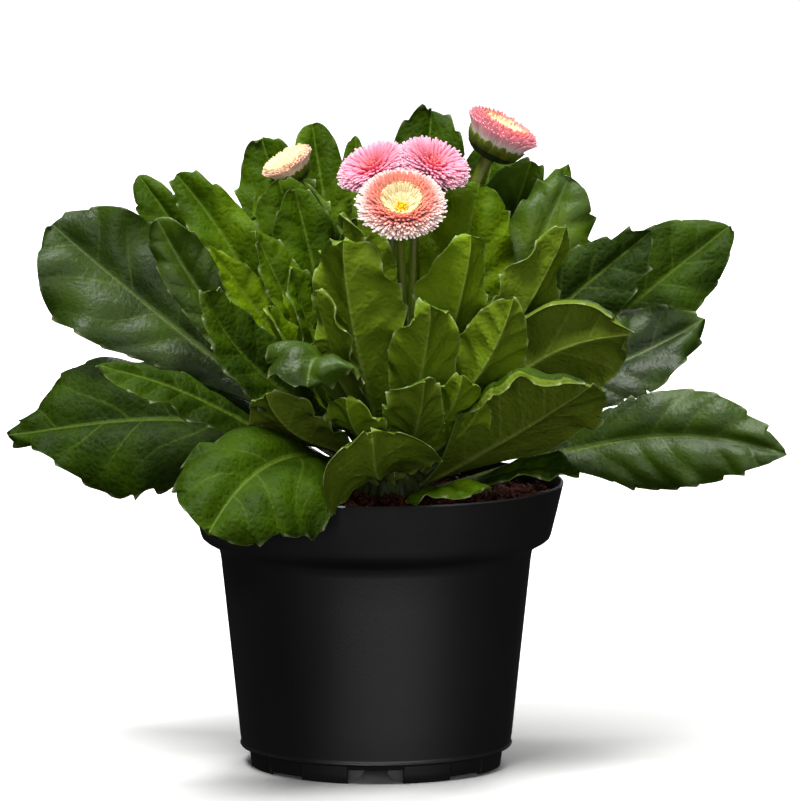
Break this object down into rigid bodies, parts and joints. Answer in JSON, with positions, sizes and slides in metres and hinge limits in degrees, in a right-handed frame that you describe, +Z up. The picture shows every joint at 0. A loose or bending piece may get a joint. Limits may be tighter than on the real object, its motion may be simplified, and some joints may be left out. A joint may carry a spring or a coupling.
{
  "type": "potted common daisy",
  "caption": "Double, quilled common daisy in flower, with a rosette of toothed spoon-shaped leaves, rooted in peat in a round, flared black nursery pot.",
  "frame": {"origin": "on the floor, straight below the middle of the leaf crown, which stands 6 mm to the right of the pot's middle", "axes": "+Z up, +X to the right and +Y away from someone who looks at the front"},
  "size_m": [0.2474, 0.177, 0.2096],
  "materials": {
    "pot_plastic": "satin injection-moulded black polypropylene",
    "peat": "loose, dry reddish-brown peat crumbs",
    "crown": "pale green, slightly ribbed living stem",
    "leaf": "waxy upper face, matte paler underside",
    "young_leaf": "waxy, thin enough to glow yellow-green",
    "stalk": "satin, finely ribbed and slightly hairy",
    "pink_floret": "matte, translucent petal tissue",
    "cream_floret": "matte, translucent petal tissue"
  },
  "bodies": {
    "root": {"pot": "pot_plastic", "soil": "peat", "crown": "crown", "leaf_left_high": "leaf", "leaf_left_low": "leaf", "leaf_left_shelf": "leaf", "leaf_left_dark": "leaf", "leaf_left_round": "leaf", "leaf_left_back_narrow": "leaf", "leaf_left_folded": "leaf", "leaf_left_twisted": "leaf", "leaf_front_left_hanging": "leaf", "leaf_front_left_low": "leaf", "leaf_front_toothed": "leaf", "leaf_front_cupped": "leaf", "leaf_front_on_soil": "leaf", "leaf_front_short": "leaf", "leaf_front_middle": "leaf", "leaf_front_ribbed": "leaf", "leaf_right_curled": "leaf", "leaf_right_under": "leaf", "leaf_right_olive": "leaf", "leaf_right_low": "leaf", "leaf_right_middle": "leaf", "leaf_right_high": "leaf", "leaf_right_dark": "leaf", "leaf_right_yellow": "leaf", "leaf_middle_tall": "young_leaf", "leaf_middle_right": "young_leaf", "leaf_middle_face": "young_leaf", "leaf_middle_broad": "young_leaf", "leaf_back_left_round": "leaf", "leaf_back_left_tall": "leaf", "leaf_back_tall": "leaf", "leaf_back_right_tall": "leaf", "leaf_back_right_inner": "leaf", "leaf_right_glossy": "young_leaf", "leaf_right_broad": "leaf", "leaf_back_bronze": "young_leaf", "leaf_back_low_1": "leaf", "leaf_back_low_2": "leaf", "leaf_back_low_3": "leaf", "leaf_back_low_4": "leaf", "leaf_back_mid_1": "leaf", "leaf_back_mid_2": "leaf", "front_flower_stalk": "stalk", "front_flower_rays": "pink_floret", "front_flower_disc": "cream_floret", "left_pink_flower_stalk": "stalk", "left_pink_flower_rays": "pink_floret", "left_pink_flower_disc": "cream_floret", "right_pink_flower_stalk": "stalk", "right_pink_flower_rays": "pink_floret", "right_pink_flower_disc": "cream_floret", "young_flower_stalk": "stalk", "young_flower_rays": "pink_floret", "young_flower_disc": "cream_floret", "tall_flower_stalk": "stalk", "tall_flower_rays": "pink_floret", "tall_flower_disc": "cream_floret"}
  },
  "joints": []
}
